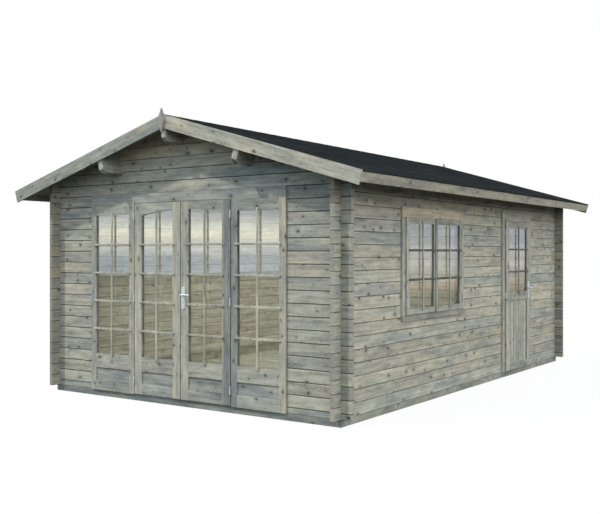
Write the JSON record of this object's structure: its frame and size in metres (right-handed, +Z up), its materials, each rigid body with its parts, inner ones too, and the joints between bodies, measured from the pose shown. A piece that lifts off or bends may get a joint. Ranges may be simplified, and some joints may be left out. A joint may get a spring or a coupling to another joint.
{
  "type": "log summer house",
  "caption": "Gabled garden summer house of interlocked logs with a glazed double door and sidelights in front, a side window and a half-glazed side door; doors swing outwards",
  "frame": {"origin": "centre of the footprint at ground level", "axes": "+X to the right of the front, +Y from the front to the back along the ridge, +Z up"},
  "size_m": [4.3268, 6.092, 2.8211],
  "materials": {
    "log_wood": "weathered matte",
    "board_wood": "weathered matte",
    "trim_wood": "weathered matte",
    "roof_shingle": "mineral felt",
    "glass": "clear",
    "satin_steel": "satin"
  },
  "bodies": {
    "house": {"end_bearers": "log_wood", "side_bearers": "log_wood", "floor_joists": "log_wood", "front_wall_left": "log_wood", "front_wall_right": "log_wood", "front_gable": "log_wood", "back_wall": "log_wood", "back_gable": "log_wood", "left_wall": "log_wood", "right_wall_lower": "log_wood", "right_wall_front": "log_wood", "right_wall_pier": "log_wood", "right_wall_rear": "log_wood", "right_wall_upper": "log_wood", "ridge_purlin": "log_wood", "left_purlin": "log_wood", "right_purlin": "log_wood", "floor_boards": "board_wood", "left_roof_boards": "board_wood", "right_roof_boards": "board_wood", "front_barge_boards": "trim_wood", "back_barge_boards": "trim_wood", "fascias": "trim_wood", "finials": "trim_wood", "front_head": "trim_wood", "front_threshold": "trim_wood", "left_sidelight": "trim_wood", "right_sidelight": "trim_wood", "side_door_jambs": "trim_wood", "side_door_head": "trim_wood", "side_door_threshold": "trim_wood", "window_frame": "trim_wood", "window_sashes": "trim_wood", "left_shingles": "roof_shingle", "right_shingles": "roof_shingle", "ridge_cap": "roof_shingle", "sidelight_glass": "glass", "window_glass": "glass", "frame_hinges": "satin_steel", "window_hinges": "satin_steel"},
    "left_door": {"left_leaf": "trim_wood", "left_leaf_glass": "glass", "left_leaf_hinges": "satin_steel"},
    "right_door": {"right_leaf": "trim_wood", "right_leaf_glass": "glass", "right_leaf_hinges": "satin_steel", "front_handle": "satin_steel"},
    "front_lever": {"front_lever": "satin_steel"},
    "side_door": {"side_leaf": "trim_wood", "side_leaf_glass": "glass", "side_leaf_hinges": "satin_steel", "side_handle": "satin_steel"},
    "side_lever": {"side_lever": "satin_steel"}
  },
  "joints": [
    {"name": "left_door_hinge", "type": "hinge", "parent": "house", "child": "left_door", "pos_m": [-0.6165, -2.788, 1], "axis": [0, 0, -1], "range_deg": [0, 110]},
    {"name": "right_door_hinge", "type": "hinge", "parent": "house", "child": "right_door", "pos_m": [0.6165, -2.788, 1], "axis": [0, 0, 1], "range_deg": [0, 110]},
    {"name": "side_door_hinge", "type": "hinge", "parent": "house", "child": "side_door", "pos_m": [1.836, 0.8635, 1], "axis": [0, 0, -1], "range_deg": [0, 110]},
    {"name": "front_lever_turn", "type": "hinge", "parent": "right_door", "child": "front_lever", "pos_m": [0.0415, -2.78, 1.071], "axis": [0, 1, 0], "range_deg": [0, 40], "stiffness_Nm_per_rad": 1, "springref_deg": -57.3},
    {"name": "side_lever_turn", "type": "hinge", "parent": "side_door", "child": "side_lever", "pos_m": [1.828, 1.602, 1.04], "axis": [1, 0, 0], "range_deg": [0, 40], "stiffness_Nm_per_rad": 1, "springref_deg": -57.3}
  ]
}
